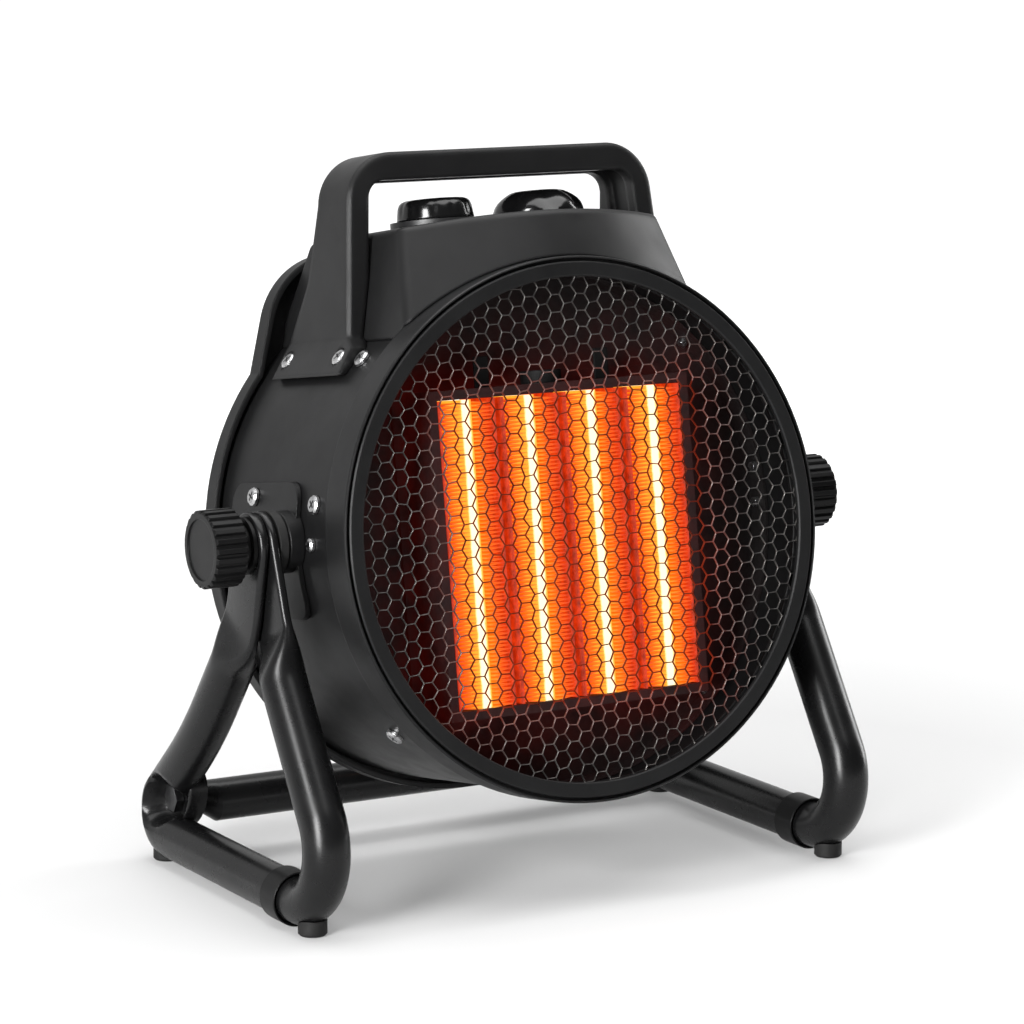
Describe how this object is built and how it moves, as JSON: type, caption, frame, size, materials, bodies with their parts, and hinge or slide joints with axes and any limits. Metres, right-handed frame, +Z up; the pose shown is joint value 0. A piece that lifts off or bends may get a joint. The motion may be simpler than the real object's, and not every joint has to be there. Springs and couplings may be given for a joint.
{
  "type": "forced air heater",
  "caption": "Round drum fan heater on a tilting bent tube stand, with a honeycomb outlet, glowing ceramic bars, dial controls and a carrying handle.",
  "frame": {"origin": "middle of the footprint on the floor, under the middle of the whole part's outline", "axes": "-Y towards the outlet grille, +X to the right of someone who faces the grille, +Z up"},
  "size_m": [0.281, 0.1607, 0.2866],
  "materials": {
    "tube_black": "satin black powder coat",
    "collar_black": "satin moulded",
    "drum_black": "fine textured black powder coat",
    "bezel_black": "satin moulded",
    "grille_steel": "bright expanded honeycomb",
    "housing_black": "fine textured satin",
    "dial_black": "gloss black",
    "knob_black": "satin moulded",
    "dial_plate_metal": "printed plate, left bare",
    "steel": "zinc plated",
    "rubber_black": "matt",
    "heating_bar": "glowing when on",
    "fin_aluminium": "corrugated, lit by the bars",
    "frame_plastic": "moulded",
    "fan_plastic": "moulded",
    "motor_steel": "pressed steel"
  },
  "bodies": {
    "stand": {"rear_crossbar": "tube_black", "crossbar_bolts": "steel", "side_frame_right": "tube_black", "side_frame_left": "tube_black", "front_leg_right": "tube_black", "front_leg_left": "tube_black", "tube_collar_right": "collar_black", "tube_collar_left": "collar_black", "foot_pad_front_right": "rubber_black", "foot_pad_front_left": "rubber_black", "foot_pad_rear_right": "rubber_black", "foot_pad_rear_left": "rubber_black"},
    "heater": {"drum_shell": "drum_black", "front_bezel": "bezel_black", "grille_ring": "bezel_black", "front_grille": "grille_steel", "shell_screws": "steel", "rear_cover": "housing_black", "rear_cover_screws": "steel", "cable_inlet": "rubber_black", "control_box": "housing_black", "handle": "housing_black", "handle_screws": "steel", "bracket_screws": "steel", "baffle_plate": "drum_black", "element_frame": "frame_plastic", "fin_packs": "fin_aluminium", "element_terminals": "steel", "thermal_cutout": "frame_plastic", "motor_can": "motor_steel", "motor_mount": "motor_steel", "motor_screws": "steel", "terminal_block": "frame_plastic", "ptc_bar_1": "heating_bar", "ptc_bar_2": "heating_bar", "ptc_bar_3": "heating_bar", "ptc_bar_4": "heating_bar", "dial_plate_left": "dial_plate_metal", "thermostat": "frame_plastic", "dial_plate_right": "dial_plate_metal", "power_switch": "frame_plastic", "pivot_bracket_right": "drum_black", "pivot_bracket_left": "drum_black", "pivot_stud_right": "steel", "pivot_stud_left": "steel", "friction_washer_right": "rubber_black", "friction_washer_left": "rubber_black", "clamp_washer_right": "steel", "clamp_washer_left": "steel"},
    "fan": {"fan_blades": "fan_plastic", "motor_shaft": "steel"},
    "thermostat_dial": {"thermostat_knob": "dial_black", "thermostat_shaft": "steel"},
    "power_dial": {"power_knob": "dial_black", "switch_shaft": "steel"},
    "left_clamp": {"clamp_knob_left": "knob_black"},
    "right_clamp": {"clamp_knob_right": "knob_black"}
  },
  "joints": [
    {"name": "drum_tilt", "type": "hinge", "parent": "stand", "child": "heater", "pos_m": [0, -0.0146, 0.1417], "axis": [1, 0, 0], "range_deg": [-115, 160]},
    {"name": "fan_spin", "type": "hinge", "parent": "heater", "child": "fan", "pos_m": [0, -0.0152, 0.13774], "axis": [0, 0.989, -0.1478], "continuous": true},
    {"name": "thermostat_turn", "type": "hinge", "parent": "heater", "child": "thermostat_dial", "pos_m": [-0.0227, 0.01472, 0.25671], "axis": [0, -0.165, -0.9863], "range_deg": [0, 300]},
    {"name": "power_turn", "type": "hinge", "parent": "heater", "child": "power_dial", "pos_m": [0.0238, 0.01471, 0.25666], "axis": [0, -0.165, -0.9863], "range_deg": [0, 270]},
    {"name": "left_clamp_turn", "type": "hinge", "parent": "heater", "child": "left_clamp", "pos_m": [-0.12345, -0.0146, 0.1417], "axis": [-1, 0, 0], "range_deg": [0, 360]},
    {"name": "right_clamp_turn", "type": "hinge", "parent": "heater", "child": "right_clamp", "pos_m": [0.12345, -0.0146, 0.1417], "axis": [1, 0, 0], "range_deg": [0, 360]}
  ]
}
